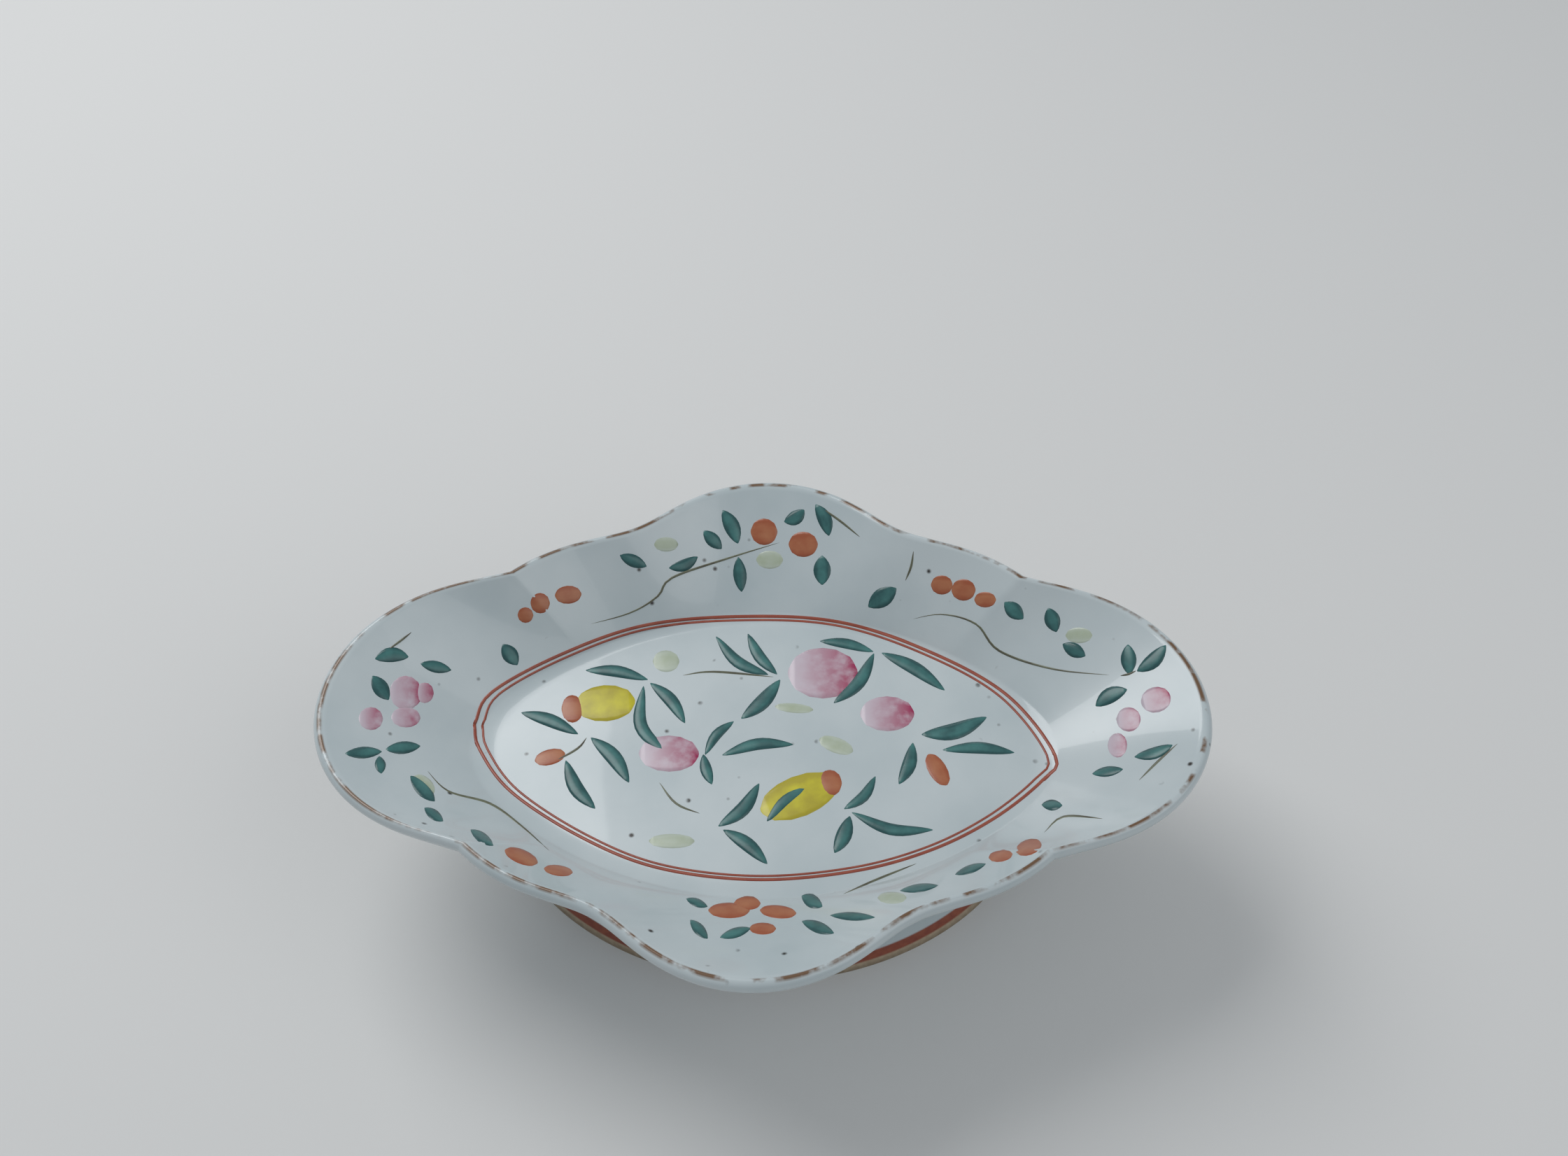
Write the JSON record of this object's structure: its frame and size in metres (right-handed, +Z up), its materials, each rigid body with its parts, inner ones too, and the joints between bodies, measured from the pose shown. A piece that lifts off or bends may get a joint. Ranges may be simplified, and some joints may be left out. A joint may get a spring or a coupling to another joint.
{
  "type": "footed porcelain dish",
  "caption": "Shallow lobed lozenge-shaped porcelain serving dish on a hollow splayed foot, painted with sprays of fruit and leaves inside a double-lined oval.",
  "frame": {"origin": "on the standing surface, under the middle of the dish", "axes": "+X along the dish's long axis, +Y along its short axis, +Z up"},
  "size_m": [0.2002, 0.138, 0.052],
  "materials": {
    "dish_glaze": "glossy bluish-grey white glaze with painted enamels",
    "foot_glaze": "glossy glaze with an unglazed buff standing edge",
    "slip": "glazed over"
  },
  "bodies": {
    "root": {"dish_body": "dish_glaze", "foot": "foot_glaze", "luting_slip": "slip"}
  },
  "joints": []
}
